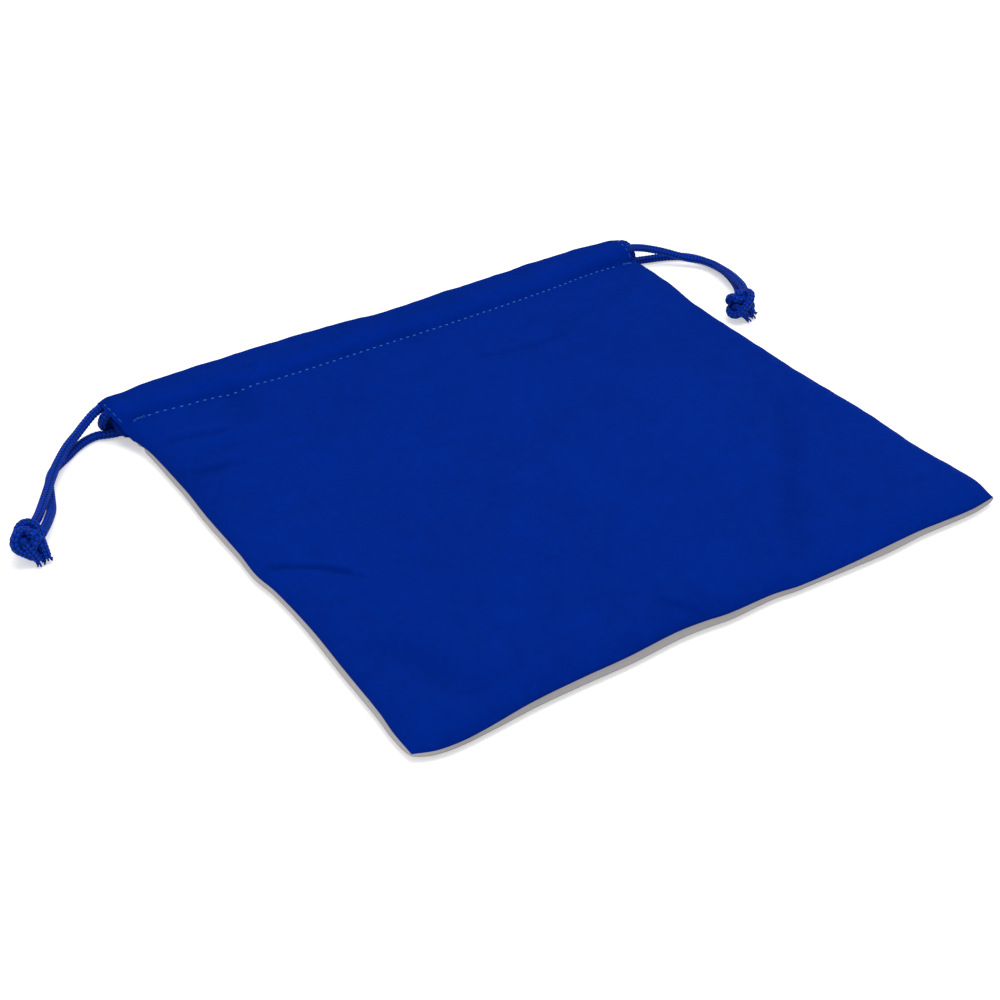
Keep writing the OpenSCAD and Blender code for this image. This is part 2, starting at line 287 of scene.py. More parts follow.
class PouchThreadSettings(bpy.types.PropertyGroup):
    """Sizes and colour of the sewing thread"""

    pitch: bpy.props.FloatProperty(
        name="Stitch pitch", description="Distance from one stitch to the next",
        default=0.00265, min=0.002, max=0.004, **LENGTH)
    length: bpy.props.FloatProperty(
        name="Stitch length", description="Length of thread that shows in one stitch",
        default=0.0014, min=0.0008, max=0.002, **LENGTH)
    width: bpy.props.FloatProperty(
        name="Thread width", description="Width of the thread",
        default=0.00046, min=0.0002, max=0.0006, **LENGTH)
    colour: bpy.props.FloatVectorProperty(
        name="Colour", description="Colour of the thread",
        default=(0.037, 0.185, 0.49), **COLOUR)


class PouchStageSettings(bpy.types.PropertyGroup):
    """Camera, lamps and floor"""

    azimuth: bpy.props.FloatProperty(
        name="Azimuth", description="Direction from which the camera looks",
        default=math.radians(-33.76), subtype="ANGLE")
    elevation: bpy.props.FloatProperty(
        name="Elevation", description="Height of the camera above the horizon",
        default=math.radians(34.51), subtype="ANGLE")
    distance: bpy.props.FloatProperty(
        name="Distance", description="Distance from the camera to its target",
        default=0.56008, min=0.2, max=5, unit="LENGTH")
    target: bpy.props.FloatVectorProperty(
        name="Target", description="Point on the floor that the camera looks at",
        default=(-0.01982, -0.01043, 0), size=3, subtype="XYZ")
    lens: bpy.props.FloatProperty(
        name="Lens", description="Focal length of the camera on a 36 mm sensor, in millimetres",
        default=65.31, min=20, max=200)
    daylight: bpy.props.FloatProperty(
        name="Sky strength", description="Strength of the even light from all round",
        default=0.58, min=0, max=2)
    lamp: bpy.props.FloatProperty(
        name="Lamp power", description="Power of the large lamp over the pouch",
        default=4.8, min=0, max=100, subtype="POWER")


# ---------------------------------------------------------------- small helpers


def smooth(t):
    """Smooth step from 0 to 1."""
    t = np.clip(t, 0, 1)
    return t * t * (3 - 2 * t)


def through(points, at):
    """Smooth curve through listed points, read at the given places."""
    x, y = np.array(points, float).T
    slope = np.concatenate([(y[1:2] - y[:1]) / (x[1:2] - x[:1]),
                            (y[2:] - y[:-2]) / (x[2:] - x[:-2]),
                            (y[-1:] - y[-2:-1]) / (x[-1:] - x[-2:-1])])
    at = np.clip(at, x[0], x[-1])
    i = np.clip(np.searchsorted(x, at) - 1, 0, len(x) - 2)
    gap = x[i + 1] - x[i]
    t = (at - x[i]) / gap
    start = (1 + 2 * t) * (1 - t) ** 2 * y[i] + t * (1 - t) ** 2 * gap * slope[i]
    end = t * t * (3 - 2 * t) * y[i + 1] + t * t * (t - 1) * gap * slope[i + 1]
    return start + end


def unit(v):
    """Vectors of length 1."""
    return v / np.maximum(np.linalg.norm(v, axis=-1, keepdims=True), 1e-12)


def along(line):
    """Distance along a line of points, from its start to each point."""
    return np.concatenate([[0], np.cumsum(np.linalg.norm(np.diff(line, axis=0), axis=1))])


def read_off(at, far, line):
    """Points or directions of a line, read at places between its own."""
    return np.stack([np.interp(at, far, line[:, k]) for k in range(3)], 1)


def resampled(line, step):
    """A line's points, evenly spaced."""
    far = along(line)
    return read_off(np.linspace(0, far[-1], max(2, round(far[-1] / step) + 1)), far, line)


def curve_line(points, step):
    """A smooth line through points in space, evenly spaced."""
    points = np.array(points, float)
    far = along(points)
    at = np.linspace(0, far[-1], int(far[-1] / step * 2))
    line = np.stack([through(list(zip(far, points[:, k])), at) for k in range(3)], 1)
    return resampled(line, step)


def new_mesh(name, points, faces):
    """A smooth mesh object with its place in its mesh."""
    mesh = bpy.data.meshes.new(name)
    mesh.from_pydata(points.tolist(), [], faces)
    mesh.polygons.foreach_set("use_smooth", np.full(len(mesh.polygons), True))
    mesh.update()
    made = bpy.data.objects.new(name, mesh)
    bpy.context.scene.collection.objects.link(made)
    return made


def set_uv(made, name, uv_of_vertices):
    """Gives a mesh a UV map with one place for each vertex."""
    mesh = made.data
    layer = mesh.uv_layers.new(name=name)
    corners = np.empty(len(mesh.loops), np.int64)
    mesh.loops.foreach_get("vertex_index", corners)
    layer.uv.foreach_set("vector", uv_of_vertices[corners].astype(np.float32).ravel())


# ---------------------------------------------------------------- materials


class Nodes:
    """The nodes of one material, with short calls to add and link them."""

    def __init__(self, name):
        self.material = bpy.data.materials.new(name)
        self.material.use_nodes = True
        self.tree = self.material.node_tree
        self.shader = self.tree.nodes["Principled BSDF"]

    def add(self, kind, inputs=None, **settings):
        """Adds a node; inputs maps a socket to a value or to another node's output."""
        node = self.tree.nodes.new(kind)
        for key, value in settings.items():
            setattr(node, key, value)
        for key, value in (inputs or {}).items():
            self.put(node.inputs[key], value)
        return node

    def put(self, socket, value):
        """Sets a socket to a value or links an output to it."""
        if isinstance(value, bpy.types.NodeSocket):
            self.tree.links.new(value, socket)
        else:
            socket.default_value = value

    def surface(self, inputs):
        """Sets or links the shader's own sockets, and gives the finished material."""
        for key, value in inputs.items():
            self.put(self.shader.inputs[key], value)
        return self.material

    def math(self, operation, a, b=0.0, c=0.0):
        """One step of arithmetic."""
        node = self.add("ShaderNodeMath", operation=operation)
        for socket, value in zip(node.inputs, (a, b, c)):
            self.put(socket, value)
        return node.outputs[0]

    def mix(self, share, a, b):
        """A colour between two colours."""
        node = self.add("ShaderNodeMix", data_type="RGBA", clamp_factor=False)
        for key, value in (("Factor_Float", share), ("A_Color", a), ("B_Color", b)):
            socket = next(s for s in node.inputs if s.identifier == key)
            self.put(socket, value)
        return next(s for s in node.outputs if s.identifier == "Result_Color")

    def places(self, uv_map):
        """Both coordinates of a UV map, and the place on the object."""
        uv = self.add("ShaderNodeUVMap", uv_map=uv_map).outputs[0]
        split = self.add("ShaderNodeSeparateXYZ", {0: uv})
        return split.outputs[0], split.outputs[1], self.add("ShaderNodeTexCoord").outputs["Object"]

    def noise(self, place, scale, detail=3.0, roughness=0.5):
        """Noise on the object."""
        inputs = {"Vector": place, "Scale": scale, "Detail": detail, "Roughness": roughness}
        return self.add("ShaderNodeTexNoise", inputs).outputs[0]

    def stretch(self, value, low, high, interpolation="LINEAR"):
        """0 where a value is low, 1 where it is high."""
        inputs = {"Value": value, "From Min": low, "From Max": high}
        return self.add("ShaderNodeMapRange", inputs, interpolation_type=interpolation).outputs[0]

    def bump(self, height, strength, distance):
        """Normals of a fine relief."""
        inputs = {"Height": height, "Strength": strength, "Distance": distance}
        return self.add("ShaderNodeBump", inputs).outputs[0]


def shade(colour, factor):
    """A colour made darker or lighter, with full opacity."""
    return tuple(min(1, c * factor) for c in colour) + (1,)


def cloth_material(name, colour, weave, spread, sheen, tint):
    """Fine plain weave with uneven yarns, a soft nap and slow changes of shade."""
    m = Nodes(name)
    u, v, body = m.places("Weave")
    across, up = (m.math("MULTIPLY", way, 2 * math.pi / weave) for way in (u, v))

    def bands(one, other):
        """Yarns that lie one way and rise over every second yarn of the other way."""
        rising = m.math("COSINE", m.math("MULTIPLY", other, 0.5))
        return m.math("ABSOLUTE", m.math("MULTIPLY", m.math("SINE", one), rising))

    yarn = m.math("ADD", bands(across, up), bands(up, across))
    fibre = m.noise(body, 2600.0, roughness=0.7)
    slub = m.noise(body, 420.0, detail=2.0)
    height = m.math("MULTIPLY_ADD", yarn, 0.5, m.math("MULTIPLY", fibre, 0.6))
    height = m.math("MULTIPLY_ADD", slub, 0.5, height)
    cloud = m.noise(body, 26.0, roughness=0.55)
    mottle = m.noise(body, 130.0, roughness=0.6)
    tone = m.math("MULTIPLY_ADD", cloud, 0.3, m.math("MULTIPLY", slub, 0.35))
    tone = m.math("MULTIPLY_ADD", mottle, 0.35, tone)
    tone = m.math("MULTIPLY_ADD", yarn, 0.1, tone)
    # Painted shade from the cloth's attribute darkens its colour by that share, and a negative
    # share paints it lighter
    fold = m.add("ShaderNodeAttribute", attribute_name="PaintedShade").outputs["Fac"]
    tone = m.math("MULTIPLY_ADD", fold, -0.5 / spread, m.stretch(tone, 0.3, 0.8))
    nap = m.add("ShaderNodeMapRange", {"Value": fibre, "To Min": 0.82, "To Max": 0.96})
    return m.surface({
        "Base Color": m.mix(tone, shade(colour, 1 - spread), shade(colour, 1 + spread)),
        "Roughness": nap.outputs[0], "Normal": m.bump(height, 0.35, 0.00012),
        "Specular IOR Level": 0.03, "Specular Tint": tint,
        "Sheen Weight": sheen, "Sheen Roughness": 0.5, "Sheen Tint": tint})


def knit_material(name, colour):
    """Knitted cord: ribs along it, each a chain of loops like small chevrons."""
    m = Nodes(name)
    round_cord, far, body = m.places("Knit")
    middle = m.math("MULTIPLY", m.math("PINGPONG", round_cord, 0.5), 2.0)
    chevron = m.math("MULTIPLY_ADD", middle, 0.55, far)
    loop = m.math("SINE", m.math("MULTIPLY", chevron, 2 * math.pi))
    strand = m.math("SINE", m.math("MULTIPLY", chevron, 8 * math.pi))
    high = m.math("MULTIPLY_ADD", loop, 0.5, m.math("MULTIPLY", strand, 0.14))
    high = m.math("ADD", high, m.math("MULTIPLY", m.noise(body, 3200.0, roughness=0.7), 0.5))
    # Painted highlight and shade: the colour is lighter where the loops are raised and darker
    # where they are low
    lit = m.mix(m.stretch(high, -0.4, 0.9), shade(colour, 0.35), shade(colour, 1.75))
    # Painted shade darkens the grooves between the ribs to a tenth of the colour
    groove_shade = m.stretch(middle, 0.0, 0.34, "SMOOTHSTEP")
    return m.surface({
        "Base Color": m.mix(groove_shade, shade(colour, 0.1), lit),
        "Normal": m.bump(high, 0.6, 0.00016), "Roughness": 0.6,
        "Specular IOR Level": 0.2, "Specular Tint": (0.2, 0.4, 1, 1),
        "Sheen Weight": 0.04, "Sheen Tint": (0.2, 0.3, 1, 1)})


def thread_material(name, colour):
    """Twisted polyester thread."""
    m = Nodes(name)
    body = m.add("ShaderNodeTexCoord").outputs["Object"]
    turn = m.add("ShaderNodeMapping", {"Vector": body, "Rotation": (0, 0, 0.7)}).outputs[0]
    inputs = {"Vector": turn, "Scale": 1500.0, "Distortion": 1.0}
    twist = m.add("ShaderNodeTexWave", inputs).outputs[0]
    return m.surface({
        "Base Color": m.mix(twist, shade(colour, 0.75), shade(colour, 1.25)),
        "Normal": m.bump(twist, 0.5, 0.00005), "Roughness": 0.5, "Specular IOR Level": 0.3})


def material(name):
    """The finish with this name, made once."""
    if name in bpy.data.materials:
        return bpy.data.materials[name]
    scene = bpy.context.scene
    cloth, cord, thread = scene.pouch_cloth, scene.pouch_cord, scene.pouch_thread
    if name == "BlueCloth":
        return cloth_material(name, tuple(cloth.blue), cloth.weave, 0.2, 0.06, (0.02, 0.2, 1, 1))
    if name == "GreyCloth":
        return cloth_material(name, tuple(cloth.grey), cloth.weave, 0.04, 0.1, (1, 0.95, 0.9, 1))
    if name == "KnittedCord":
        return knit_material(name, tuple(cord.colour))
    return thread_material(name, tuple(thread.colour))


# ---------------------------------------------------------------- stage


class POUCH_OT_add_stage(bpy.types.Operator):
    """Adds the camera, the lamps and the white floor"""

    bl_idname = "pouch.add_stage"
    bl_label = "Stage"

    def execute(self, context):
        s = context.scene.pouch_stage
        a, e = s.azimuth, s.elevation
        back = Vector((math.sin(a) * math.cos(e), -math.cos(a) * math.cos(e), math.sin(e)))
        camera = bpy.data.objects.new("Camera", bpy.data.cameras.new("Camera"))
        context.scene.collection.objects.link(camera)
        camera.location = Vector(s.target) + back * s.distance
        camera.rotation_euler = (-back).to_track_quat("-Z", "Y").to_euler()
        camera.data.lens = s.lens
        camera.data.clip_start, camera.data.clip_end = 0.01, 20
        context.scene.camera = camera

        bpy.ops.object.select_all(action="DESELECT")
        bpy.ops.mesh.primitive_plane_add(size=FLOOR_SIZE, location=(0, 0, 0))
        floor = context.object
        floor.name = "floor"
        floor.data.materials.append(floor_material())

        world = bpy.data.worlds.new("Studio")
        context.scene.world = world
        world.use_nodes = True
        tree = world.node_tree
        light, white = tree.nodes["Background"], tree.nodes.new("ShaderNodeBackground")
        light.inputs["Strength"].default_value = s.daylight
        for ground in (light, white):
            ground.inputs["Color"].default_value = (1, 1, 1, 1)
        rays = tree.nodes.new("ShaderNodeLightPath")
        pick = tree.nodes.new("ShaderNodeMixShader")
        tree.links.new(rays.outputs["Is Camera Ray"], pick.inputs[0])
        tree.links.new(light.outputs[0], pick.inputs[1])
        tree.links.new(white.outputs[0], pick.inputs[2])
        tree.links.new(pick.outputs[0], tree.nodes["World Output"].inputs["Surface"])

        lamp = bpy.data.objects.new("overhead_lamp", bpy.data.lights.new("overhead_lamp", "AREA"))
        context.scene.collection.objects.link(lamp)
        lamp.data.shape = "DISK"
        lamp.data.size = LAMP_SIZE
        lamp.data.energy = s.lamp
        lamp.location = LAMP_PLACE
        lamp.rotation_euler = (-lamp.location).to_track_quat("-Z", "Y").to_euler()

        context.scene.view_settings.view_transform = "Standard"
        return {"FINISHED"}


def floor_material():
    """White paper floor that shows white and still takes the pouch's shadow."""
    m = Nodes("WhiteFloor")
    m.surface({"Base Color": (0.9, 0.9, 0.9, 1), "Roughness": 1, "Specular IOR Level": 0})
    glow = m.add("ShaderNodeEmission", {"Color": (1, 1, 1, 1), "Strength": 0.45})
    rays = m.add("ShaderNodeLightPath")
    both = m.add("ShaderNodeAddShader", {0: m.shader.outputs[0], 1: glow.outputs[0]})
    pick = m.add("ShaderNodeMixShader",
                 {0: rays.outputs["Is Camera Ray"], 1: m.shader.outputs[0], 2: both.outputs[0]})
    m.put(m.tree.nodes["Material Output"].inputs["Surface"], pick.outputs[0])
    return m.material


# ---------------------------------------------------------------- cords


def ring_frames(line):
    """Two directions across a line at each point, without any twist along it."""
    ahead = unit(np.gradient(line, axis=0))
    side = np.empty_like(line)
    side[0] = unit(np.cross(ahead[0], (0, 0, 1)))
    for i in range(1, len(line)):
        step = side[i - 1] - ahead[i] * (side[i - 1] @ ahead[i])
        side[i] = step / np.linalg.norm(step)
    return side, np.cross(ahead, side)


def knitted_tube(name, lines, radii, tips=False):
    """A knitted cord along each line: ribs of raised loops, closed at both ends."""
    cord = bpy.context.scene.pouch_cord
    around = cord.wales * RIB_STEPS
    angle = np.arange(around) / around
    turn = 2 * np.pi * angle
    rib = angle * cord.wales
    middle = np.abs(rib % 1 - 0.5) * 2
    points, faces, uv = [], [], []
    for line, radius in zip(lines, radii):
        start = sum(len(p) for p in points)
        side, up = ring_frames(line)
        far = along(line) / cord.pitch
        loops = np.sin(2 * np.pi * (far[:, None] + 0.55 * (1 - middle)[None]))
        relief = 0.96 - 0.12 * middle ** 4 + 0.06 * loops * (1 - middle ** 4)
        size = radius * relief
        if tips:
            left = np.minimum(along(line), along(line)[-1] - along(line))
            size = size * np.sqrt(np.clip(left / (radius * 0.7), 0.02, 1))[:, None]
        ring = (np.cos(turn)[None, :, None] * side[:, None]
                + np.sin(turn)[None, :, None] * up[:, None])
        body = line[:, None] + ring * size[:, :, None]
        points += [body.reshape(-1, 3), line[:1], line[-1:]]
        i, k = np.meshgrid(np.arange(len(line) - 1), np.arange(around), indexing="ij")
        a = start + i * around + k
        b = start + i * around + (k + 1) % around
        faces += np.stack([a, b, b + around, a + around], -1).reshape(-1, 4).tolist()
        first = start + len(line) * around
        last = start + (len(line) - 1) * around
        faces += [[first, start + (k + 1) % around, start + k] for k in range(around)]
        faces += [[first + 1, last + k, last + (k + 1) % around] for k in range(around)]
        uv.append(np.stack(np.broadcast_arrays(rib[None], far[:, None]), -1).reshape(-1, 2))
        uv.append(np.array([[0, far[0]], [0, far[-1]]]))
    made = new_mesh(name, np.concatenate(points), faces)
    set_uv(made, "Knit", np.concatenate(uv))
    made.data.materials.append(material("KnittedCord"))
    return made


def loose_overhand(thick, step):
    """Two strands side by side in a loose overhand knot, in millimetres."""
    # A curve with the knot's three crossings, and a straight tail at both ends
    t = np.linspace(-2.15, 2.15, 1200)
    line = np.stack([t ** 3 - 3 * t, t ** 4 - 4 * t ** 2, 0.2 * t ** 5 - 2 * t], 1) * 3
    ahead = unit(np.gradient(line, axis=0))
    tail = np.arange(0.1, 14, 0.1)[:, None]
    line = np.vstack([line[0] - ahead[0] * tail[::-1], line, line[-1] + ahead[-1] * tail])
    side = unit(np.cross((0, 0, 1), unit(np.gradient(line, axis=0))))
    pair = [line - side * thick / 2, line + side * thick / 2]
    count = int(along(pair[0])[-1] / step) + 1
    return np.array([resampled(p, along(p)[-1] / (count - 1))[:count] for p in pair])


def tied_overhand(thick, steps):
    """Pulls the loose knot tight: strands keep their length and push each other apart."""
    step, pull, stiff = 1.2, 0.6, 0.12
    strands = loose_overhand(thick * 1.05, step)
    n = strands.shape[1]
    x = strands.reshape(-1, 3).copy()
    strand, place = np.repeat([0, 1], n), np.tile(np.arange(n), 2)
    apart = int(np.ceil(thick * 1.4 / step))
    near = (strand[:, None] == strand[None]) & (np.abs(place[:, None] - place[None]) <= apart)
    one, two = np.where(np.triu(~near, 1))
    links = [np.concatenate([np.arange(p, n - 1, 2), n + np.arange(p, n - 1, 2)]) for p in (0, 1)]
    for _ in range(steps):
        x[[0, n], 0] -= pull
        x[[n - 1, 2 * n - 1], 0] += pull
        for _ in range(3):
            for k in links:
                d = x[k + 1] - x[k]
                long = np.linalg.norm(d, axis=1)[:, None]
                shift = 0.5 * (long - step) / long * d
                x[k] += shift
                x[k + 1] -= shift
            for first in (0, n):
                part = x[first:first + n]
                part[1:-1] += stiff * ((part[:-2] + part[2:]) / 2 - part[1:-1])
            d = x[two] - x[one]
            close = (d * d).sum(1) < thick ** 2
            long = np.linalg.norm(d[close], axis=1)[:, None]
            shift = 0.5 * (thick - long) / long * d[close]
            push = np.zeros_like(x)
            np.add.at(push, one[close], -shift)
            np.add.at(push, two[close], shift)
            hits = np.bincount(np.concatenate([one[close], two[close]]), minlength=2 * n)
            x += push / np.sqrt(np.maximum(hits, 1))[:, None]
    return x.reshape(2, n, 3)


def knot_lines(side_name, tied, step, floor_gap):
    """The two strands of a knot in metres, from a cord's two ends to their cut tips."""
    facts = CORDS[side_name]
    route, centre = np.array(facts["route"]), np.array(facts["knot"])
    every = tied.reshape(-1, 3)
    core = every[np.abs(every[:, 0]) < KNOT_HALF]
    tied = (tied - core.mean(0)) * MM
    into = unit(np.mean([route[0], route[-1]], 0) - centre)
    roll = math.radians(facts["roll"])
    side = unit(np.cross(into, (0, 0, 1)))
    lift = np.cross(side, into)
    u = math.cos(roll) * side + math.sin(roll) * lift
    strands = tied @ np.array([-into, -u, np.cross(into, u)]) + centre
    depths = [np.linalg.norm(strand - centre, axis=1) for strand in strands]
    # Each strand goes on from the nearer end of the cord
    ends = [route[[1, 0]], route[[-2, -1]]]
    sides = [strand[np.argmin(np.abs(depth[:40] - KNOT_SIDE))]
             for strand, depth in zip(strands, depths)]
    gap = [[np.linalg.norm(side - end[1]) for end in ends] for side in sides]
    if gap[0][0] + gap[1][1] > gap[0][1] + gap[1][0]:
        ends.reverse()
    # The strand that leaves the knot further to the left has the left tip
    tips = list(facts["tips"])
    lasts = [len(depth) - 1 - np.argmax(depth[::-1] < KNOT_END) for depth in depths]
    if strands[0][lasts[0]][0] > strands[1][lasts[1]][0]:
        tips.reverse()
    lines = []
    for strand, depth, end, last, tip in zip(strands, depths, ends, lasts, tips):
        first = np.argmax(depth < KNOT_BEGIN)
        start = end[1] + (end[0] - end[1]) * 0.4
        line = curve_line(np.vstack([[start, end[1]], strand[first:last + 1], [tip]]), step)
        line[:, 2] = np.maximum(line[:, 2], floor_gap)
        lines.append(line)
    return lines


def frayed_yarns(line, radius, step):
    """Short loose yarns round the cut end of a cord."""
    tip, ahead = line[-1], unit(line[-1] - line[-4])
    side = unit(np.cross(ahead, (0, 0, 1)))
    up = np.cross(side, ahead)
    yarns = []
    for k in range(YARN_COUNT):
        out = (math.cos(2.4 * k) * side + math.sin(2.4 * k) * up) * radius
        reach = ahead * radius * (0.5 + 0.3 * math.sin(3 * k + 1))
        yarn = curve_line([tip - ahead * radius + out * 0.5, tip + out * 0.7,
                           tip + reach + out * (1.05 + 0.3 * math.cos(5 * k))], step)
        yarn[:, 2] = np.maximum(yarn[:, 2], YARN_RADIUS)
        yarns.append(yarn)
    return yarns


class POUCH_OT_add_drawcords(bpy.types.Operator):
    """Adds the two drawcords and the knot in each cord's ends"""

    bl_idname = "pouch.add_drawcords"
    bl_label = "Drawcords and knots"

    def execute(self, context):
        cord = context.scene.pouch_cord
        step = cord.pitch / LOOP_STEPS
        thick = TIED_SHARE * cord.diameter
        tied = tied_overhand(STRAND_THICKNESS, PULL_ROUNDS)
        for side_name, facts in CORDS.items():
            route = curve_line(facts["route"], step)
            tube = knitted_tube("knitted_" + side_name + "_cord", [route], [cord.diameter / 2])
            lines = knot_lines(side_name, tied, step, thick)
            yarns = [yarn for line in lines for yarn in frayed_yarns(line, thick, step)]
            knot = knitted_tube("tied_" + side_name + "_ends", lines + yarns,
                                [thick] * len(lines) + [YARN_RADIUS] * len(yarns), tips=True)
            for piece, node in ((tube, "_drawcord"), (knot, "_knot")):
                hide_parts(side_name + node)
                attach(piece, side_name + "_cord")
        return {"FINISHED"}


# ---------------------------------------------------------------- cloth


def columns():
    """Places of the cloth's columns across the pouch, close together at both side seams."""
    count = round((HALF - EDGE_STEPS[-1]) / COLUMN_STEP) - 1
    inner = np.arange(-count, count + 1) * COLUMN_STEP
    return np.concatenate([EDGE_STEPS - HALF, inner, HALF - EDGE_STEPS[::-1]])


def panel_rows(end):
    """Distances of a panel's rows from the bottom seam, close together at both ends."""
    return np.concatenate([EDGE_STEPS, np.arange(6, end - 4, 1),
                           np.arange(end - 4, end + 0.1, 0.4)])


def lean(x):
    """0 at the left side seam, 1 at the right one."""
    return smooth((x + HALF) / (2 * HALF))


def across(x, y, left=LEFT_INSET, right=RIGHT_INSET):
    """Where a column lies at y, between the two listed side edges."""
    return x + through(left, y) * (1 - lean(x)) - through(right, y) * lean(x)


def rise(far, width):
    """Quarter round of a cloth that leaves its seam: 0 on the seam, 1 on the flat."""
    return np.sqrt(1 - (1 - np.clip(far / width, 0, 1)) ** 2)


def seam_height(x, y):
    """Height of the seam between front and back, which climbs to the foot of each slit."""
    return through(LEFT_SEAM, y) * (1 - lean(x)) + through(RIGHT_SEAM, y) * lean(x)


def unevenness(far, wave, start):
    """Irregular small waves along a seam, from -1 to 1."""
    turn = 2 * np.pi * far / wave
    return (np.sin(turn + start) + 0.6 * np.sin(1.62 * turn + 2 * start)
            + 0.5 * np.sin(0.58 * turn + 3 * start)) / 2.1


def creases(x, y):
    """Height and painted shade of the listed creases of the front cloth."""
    height, shadow = np.zeros_like(x), np.zeros_like(x)
    for points, width, depth, painted_shade in CREASES:
        line = curve_line([p + (0,) for p in points], 1.0)[:, :2]
        ahead = unit(np.gradient(line, axis=0))
        best = np.full(x.shape, np.inf)
        side, share = np.zeros_like(x), np.zeros_like(x)
        for k, (p, a) in enumerate(zip(line, ahead)):
            dx, dy = x - p[0], y - p[1]
            far = np.hypot(dx, dy)
            near = far < best
            best[near] = far[near]
            side[near] = (dy * a[0] - dx * a[1])[near]
            share[near] = k / (len(line) - 1)
        fade = smooth(share * 6) * smooth((1 - share) * 3)
        off = best * np.sign(side)
        hollow = np.exp(-(best / width) ** 2)
        ridge = 0.6 * np.exp(-((off - 1.7 * width) / (1.3 * width)) ** 2)
        height += depth * fade * (ridge - hollow)
        # Painted shade darkens the cloth in each crease's hollow
        shadow += painted_shade * fade * hollow
    return height, shadow


def panel_plan(end, stitch_line):
    """Places of a panel's rows and columns, and each point's distance from the bottom seam."""
    x = columns()
    foot = through(stitch_line, x)
    low = BOTTOM_Y + through(BOTTOM_INSET, x)
    up = panel_rows(end)[:, None]
    y = low + up + (foot - low - PANEL_LENGTH) * smooth(up / PANEL_LENGTH)
    return np.broadcast_to(x, y.shape), y, np.broadcast_to(up, y.shape)


def casing_rows(x, foot, foot_z, middle_z, back_y, back_z):
    """A casing's outer face in Y and Z: an arch over the cords, round the fold and back."""
    def steps(count):
        """Shares of a stretch at its rows, up to 1."""
        return np.arange(1, count + 1) / count

    near_slit = 1 - smooth((HALF - np.abs(x)) / 8)
    radius = FOLD_RADIUS + 0.25 * near_slit
    fold = through(FOLD_LINE, x)
    top, low = middle_z + radius, middle_z - radius
    rows = []
    for t in steps(ARCH_ROWS):
        climb = 1 - (1 - t) ** 2.8
        rows.append((foot + (ARCH_TOP_Y - foot) * t, foot_z + (top - foot_z) * climb))
    for t in steps(TOP_ROWS):
        rows.append((ARCH_TOP_Y + (fold - ARCH_TOP_Y) * t, top))
    for t in steps(FOLD_ROWS):
        turn = np.pi / 2 - np.pi * t
        rows.append((fold + radius * np.cos(turn), middle_z + radius * np.sin(turn)))
    for t in steps(WALL_ROWS):
        y = fold + (back_y - fold) * t
        rows.append((y, low + (back_z - low) * smooth(1 - (y - back_y) / 8)))
    return [np.stack([np.broadcast_to(row[k], x.shape) for row in rows]) for k in (0, 1)]


def panel_height(x, y, raised):
    """Height of the front panel; raised is 0 on its seams and 1 on its flat."""
    foot, foot_z = through(STITCH_LINE, x), through(STITCH_HEIGHT, x)
    seam = seam_height(x, y) + through(LEFT_FREE_EDGE, y) * (1 - lean(x))
    flat = PANEL_TOP + (foot_z - PANEL_TOP) * smooth((y - foot + CLIMB_LENGTH) / CLIMB_LENGTH)
    return seam + (flat - seam) * raised


def front_panel(x, y, up):
    """Height and painted shade of the front panel: slow waves, creases and uneven seams."""
    raised = (rise(x + HALF, FRONT_ROUND["left"]) * rise(HALF - x, FRONT_ROUND["right"])
              * rise(up, FRONT_ROUND["bottom"]))
    slow = (np.sin(x / 17 + y / 31) * np.sin(y / 21 - x / 43)
            + 0.6 * np.sin(x / 9 - y / 13 + 1) * np.sin(y / 11 + 2))
    height, shadow = creases(x, y)
    z = panel_height(x, y, raised) + raised * (0.14 * slow + height)
    side = np.minimum(x + HALF, HALF - x)
    waves = ((side, unevenness(y, 11, np.where(x < 0, 1, 2))), (up, unevenness(x, 12, 3)))
    for far, wave in waves:
        z += 0.2 * np.exp(-far / 6) * wave * rise(far, 4)
    # Painted shade darkens the cloth by up to 5 % near the bottom seam, where it turns down
    return z, shadow + 0.05 * np.exp(-up / 5)


def front_casing(x, foot, foot_z):
    """Y, height and painted shade of the front casing, whose outer side is uneven."""
    y, z = casing_rows(x, foot, foot_z, FRONT_CORD_Z, foot + 0.5, foot_z - 0.75)
    outside = np.arange(len(y))[:, None] < OUTSIDE_ROWS
    ripple = 0.16 * unevenness(x + 0.4 * y, 19, 5) + 0.06 * unevenness(x - 0.3 * y, 7, 1)
    z = z + np.where(outside, smooth((y - foot) / 4) * ripple, 0)
    # Painted shade makes the casing 10 % darker, and a painted highlight makes it up to 7 %
    # lighter a little above its stitches
    return y, z, 0.1 - 0.17 * np.exp(-((y - foot - 3) / 4) ** 2)


